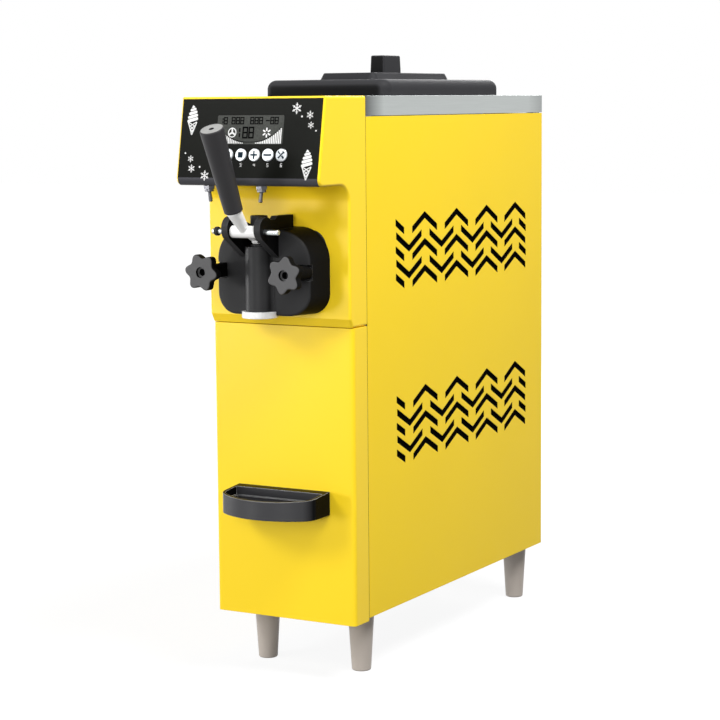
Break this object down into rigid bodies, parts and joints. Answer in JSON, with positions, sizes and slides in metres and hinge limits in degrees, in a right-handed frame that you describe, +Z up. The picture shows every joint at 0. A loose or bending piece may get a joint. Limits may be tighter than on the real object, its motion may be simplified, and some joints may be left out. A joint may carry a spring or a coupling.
{
  "type": "ice cream maker",
  "caption": "Slim counter-top soft-serve ice cream maker with a pull-down dispensing lever, star knobs, tilted control panel, lidded hopper, drip tray and tapered legs.",
  "frame": {"origin": "on the table, under the middle of the machine's bounding box", "axes": "+X to the right of someone facing the machine, +Y to its back, +Z up"},
  "size_m": [0.19, 0.6872, 0.731],
  "materials": {
    "yellow_paint": "gloss powder coat",
    "yellow_cover": "gloss moulded",
    "brushed_steel": "brushed",
    "galvanised_sheet": "galvanised",
    "black_gloss": "gloss",
    "black_satin": "satin",
    "dark_grip": "fine grain",
    "white_plastic": "satin",
    "leg_grey": "satin",
    "display_glass": "clear",
    "button_silver": "satin",
    "switch_metal": "bright",
    "circuit_board": "solder resist",
    "seal_rubber": "matte",
    "foam": "closed-cell foam",
    "machine_steel": "ground",
    "cast_aluminium": "as cast",
    "black_enamel": "enamel",
    "copper": "drawn"
  },
  "bodies": {
    "cabinet": {"base_tray": "galvanised_sheet", "legs": "leg_grey", "corner_posts": "galvanised_sheet", "side_panel_left": "yellow_paint", "side_panel_right": "yellow_paint", "rear_panel": "yellow_paint", "rear_screws": "brushed_steel", "cord_gland": "black_satin", "top_deck": "brushed_steel", "mid_shelf": "galvanised_sheet", "front_head_cover": "yellow_cover", "front_lower_panel": "yellow_cover", "control_fascia": "black_gloss", "display_window": "display_glass", "control_board": "circuit_board", "toggle_switches": "switch_metal", "hopper_tank": "brushed_steel", "feed_tube": "brushed_steel", "freezing_cylinder": "brushed_steel", "insulation_block": "foam", "dispenser_body": "black_satin", "dispenser_seal": "seal_rubber", "outlet_nozzle": "white_plastic", "pivot_pin": "brushed_steel", "pin_collar": "black_satin", "tray_hanger": "brushed_steel", "gearbox_housing": "cast_aluminium", "gearbox_cover": "cast_aluminium", "gearbox_bearings": "machine_steel", "drive_belt": "seal_rubber", "drive_motor": "black_enamel", "compressor": "black_enamel", "refrigerant_lines": "copper", "condenser": "cast_aluminium", "fan_shroud": "galvanised_sheet", "fan_motor": "black_enamel"},
    "lever": {"lever_arm": "white_plastic", "lever_grip": "dark_grip"},
    "plunger": {"plunger": "white_plastic", "plunger_rings": "seal_rubber"},
    "lid": {"lid_cover": "black_satin", "lid_handle": "black_satin"},
    "tray": {"drip_tray": "black_gloss"},
    "knob_left": {"knob_left": "dark_grip"},
    "knob_right": {"knob_right": "dark_grip"},
    "beater": {"beater": "brushed_steel", "scraper_blades": "white_plastic", "drive_gear": "machine_steel"},
    "pinion": {"pinion_shaft": "machine_steel", "driven_pulley": "cast_aluminium"},
    "motor_rotor": {"motor_pulley": "machine_steel"},
    "fan": {"fan_rotor": "white_plastic"},
    "toggle_left": {"toggle_lever_left": "switch_metal"},
    "toggle_right": {"toggle_lever_right": "switch_metal"},
    "button_1": {"button_1": "button_silver"},
    "button_2": {"button_2": "button_silver"},
    "button_3": {"button_3": "button_silver"},
    "button_4": {"button_4": "button_silver"},
    "button_5": {"button_5": "button_silver"},
    "button_6": {"button_6": "button_silver"}
  },
  "joints": [
    {"name": "lever_pivot", "type": "hinge", "parent": "cabinet", "child": "lever", "pos_m": [0, -0.26579, 0.53], "axis": [1, 0, 0], "range_deg": [0, 48]},
    {"name": "plunger_slide", "type": "slide", "parent": "cabinet", "child": "plunger", "axis": [0, 0, 1], "range_m": [0, 0.02051]},
    {"name": "lid_lift", "type": "slide", "parent": "cabinet", "child": "lid", "axis": [0, 0, 1], "range_m": [0, 0.15]},
    {"name": "tray_lift", "type": "slide", "parent": "cabinet", "child": "tray", "axis": [0, 0, 1], "range_m": [0, 0.05]},
    {"name": "knob_left_turn", "type": "hinge", "parent": "cabinet", "child": "knob_left", "pos_m": [-0.055, -0.27579, 0.483], "axis": [0, -1, 0], "continuous": true},
    {"name": "knob_right_turn", "type": "hinge", "parent": "cabinet", "child": "knob_right", "pos_m": [0.055, -0.27579, 0.483], "axis": [0, -1, 0], "continuous": true},
    {"name": "beater_spin", "type": "hinge", "parent": "cabinet", "child": "beater", "pos_m": [0, 0.07821, 0.483], "axis": [0, 1, 0], "continuous": true},
    {"name": "pinion_spin", "type": "hinge", "parent": "cabinet", "child": "pinion", "pos_m": [0, 0.07821, 0.429], "axis": [0, 1, 0], "continuous": true},
    {"name": "motor_spin", "type": "hinge", "parent": "cabinet", "child": "motor_rotor", "pos_m": [0, 0.13521, 0.1425], "axis": [0, 1, 0], "continuous": true},
    {"name": "fan_spin", "type": "hinge", "parent": "cabinet", "child": "fan", "pos_m": [0, 0.19121, 0.1575], "axis": [0, 1, 0], "continuous": true},
    {"name": "toggle_left_flip", "type": "hinge", "parent": "cabinet", "child": "toggle_left", "pos_m": [-0.0583, -0.24979, 0.576], "axis": [1, 0, 0], "range_deg": [-26, 0]},
    {"name": "toggle_right_flip", "type": "hinge", "parent": "cabinet", "child": "toggle_right", "pos_m": [0.0122, -0.24979, 0.576], "axis": [1, 0, 0], "range_deg": [0, 26]},
    {"name": "button_1_press", "type": "slide", "parent": "cabinet", "child": "button_1", "axis": [0, 0.9851, -0.1719], "range_m": [0, 0.0015], "stiffness_N_per_m": 600},
    {"name": "button_2_press", "type": "slide", "parent": "cabinet", "child": "button_2", "axis": [0, 0.9851, -0.1719], "range_m": [0, 0.0015], "stiffness_N_per_m": 600},
    {"name": "button_3_press", "type": "slide", "parent": "cabinet", "child": "button_3", "axis": [0, 0.9851, -0.1719], "range_m": [0, 0.0015], "stiffness_N_per_m": 600},
    {"name": "button_4_press", "type": "slide", "parent": "cabinet", "child": "button_4", "axis": [0, 0.9851, -0.1719], "range_m": [0, 0.0015], "stiffness_N_per_m": 600},
    {"name": "button_5_press", "type": "slide", "parent": "cabinet", "child": "button_5", "axis": [0, 0.9851, -0.1719], "range_m": [0, 0.0015], "stiffness_N_per_m": 600},
    {"name": "button_6_press", "type": "slide", "parent": "cabinet", "child": "button_6", "axis": [0, 0.9851, -0.1719], "range_m": [0, 0.0015], "stiffness_N_per_m": 600}
  ],
  "couplings": [
    {"joint": "plunger_slide", "follows": "lever_pivot", "m_per_rad": 0.02447},
    {"joint": "pinion_spin", "follows": "beater_spin", "ratio": -3},
    {"joint": "motor_spin", "follows": "beater_spin", "ratio": -7.5}
  ]
}
